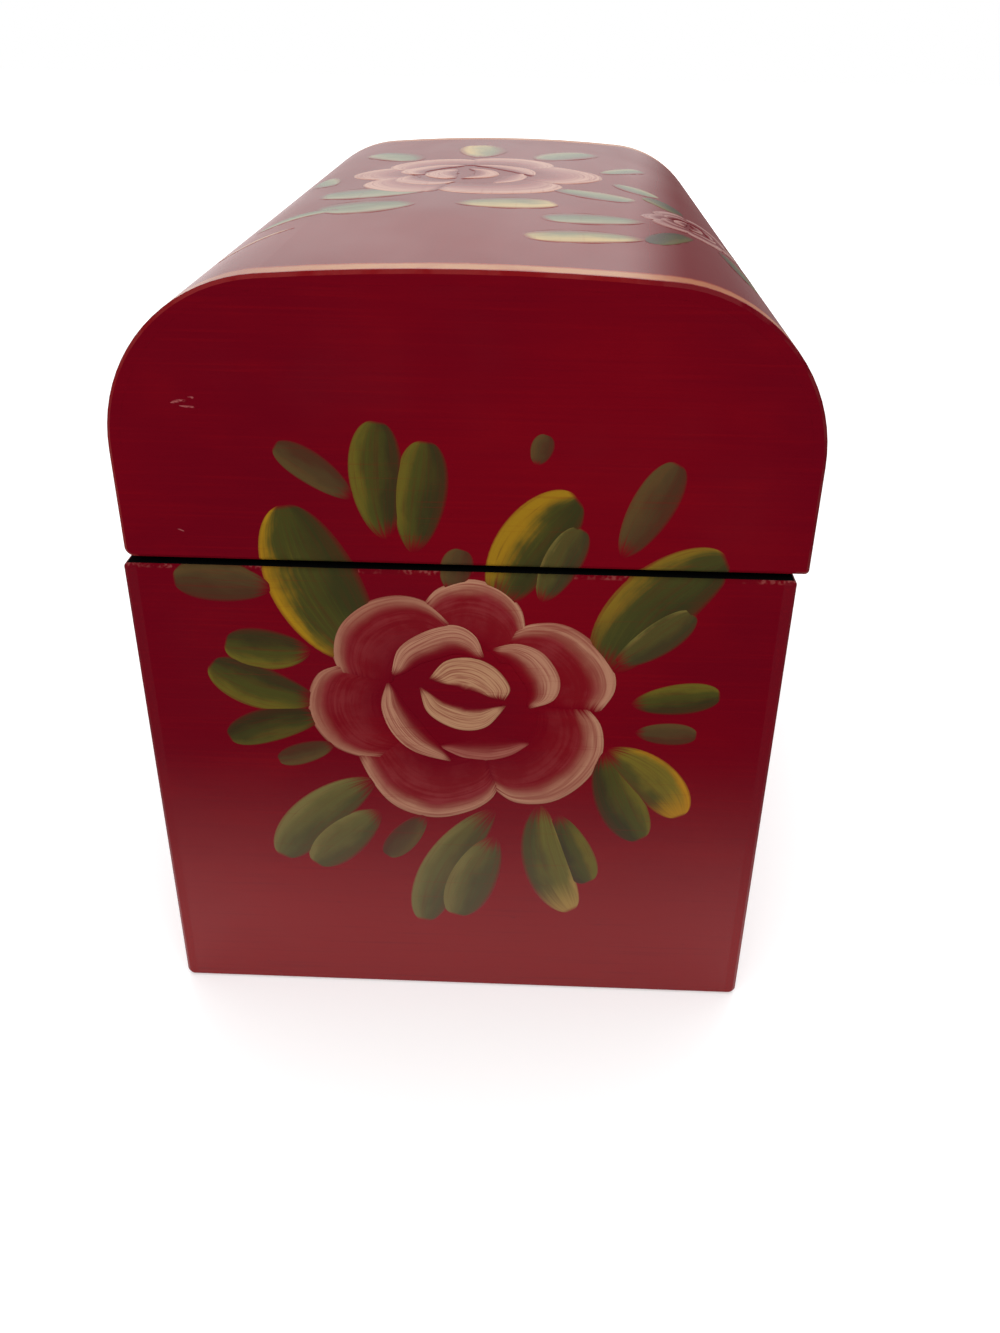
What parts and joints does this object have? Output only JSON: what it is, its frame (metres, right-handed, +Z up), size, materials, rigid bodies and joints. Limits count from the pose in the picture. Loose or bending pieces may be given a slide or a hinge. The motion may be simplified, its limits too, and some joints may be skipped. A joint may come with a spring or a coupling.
{
  "type": "treasure chest jewelry box",
  "caption": "Small dome-topped wooden keepsake chest with a hinged lid, brass stop hinges and a swing hook latch, red lacquer outside and black felt inside.",
  "frame": {"origin": "centre of the base's underside, on the surface that the chest stands on", "axes": "+Z up, X along the chest's length with the left end at -X, -Y towards the front with the latch, hinges at +Y"},
  "size_m": [0.25, 0.1649, 0.1917],
  "materials": {
    "red_lacquered_wood": "painted red, satin lacquer",
    "black_painted_board": "painted matt black",
    "black_felt_card": "felt on card",
    "aged_brass": "aged, lightly polished",
    "brass_screw": "plain",
    "rest_pad": "matt"
  },
  "bodies": {
    "base": {"base_front_board": "red_lacquered_wood", "base_back_board": "red_lacquered_wood", "base_left_board": "red_lacquered_wood", "base_right_board": "red_lacquered_wood", "base_floor": "black_painted_board", "floor_lining": "black_felt_card", "base_front_lining": "black_felt_card", "base_back_lining": "black_felt_card", "base_left_lining": "black_felt_card", "base_right_lining": "black_felt_card", "left_hinge_base_leaf": "aged_brass", "right_hinge_base_leaf": "aged_brass", "left_hinge_pin": "aged_brass", "right_hinge_pin": "aged_brass", "hinge_base_screws": "brass_screw", "rest_pads": "rest_pad", "catch_plate": "aged_brass", "catch_stud": "aged_brass", "catch_plate_tacks": "brass_screw"},
    "lid": {"lid_skin": "red_lacquered_wood", "lid_left_board": "red_lacquered_wood", "lid_right_board": "red_lacquered_wood", "lid_front_rail": "black_painted_board", "lid_back_rail": "black_painted_board", "lid_barrel_lining": "black_felt_card", "lid_left_lining": "black_felt_card", "lid_right_lining": "black_felt_card", "left_hinge_lid_leaf": "aged_brass", "right_hinge_lid_leaf": "aged_brass", "hinge_lid_screws": "brass_screw", "hook_plate": "aged_brass", "hook_rivet": "aged_brass", "hook_plate_tacks": "brass_screw"},
    "hook": {"latch_hook": "aged_brass"}
  },
  "joints": [
    {"name": "lid_hinge", "type": "hinge", "parent": "base", "child": "lid", "pos_m": [0, 0.0782, 0.12685], "axis": [-1, 0, 0], "range_deg": [0, 100]},
    {"name": "hook_pivot", "type": "hinge", "parent": "lid", "child": "hook", "pos_m": [-0.004, -0.0801, 0.1387], "axis": [0, -1, 0], "range_deg": [-90, 22]}
  ]
}
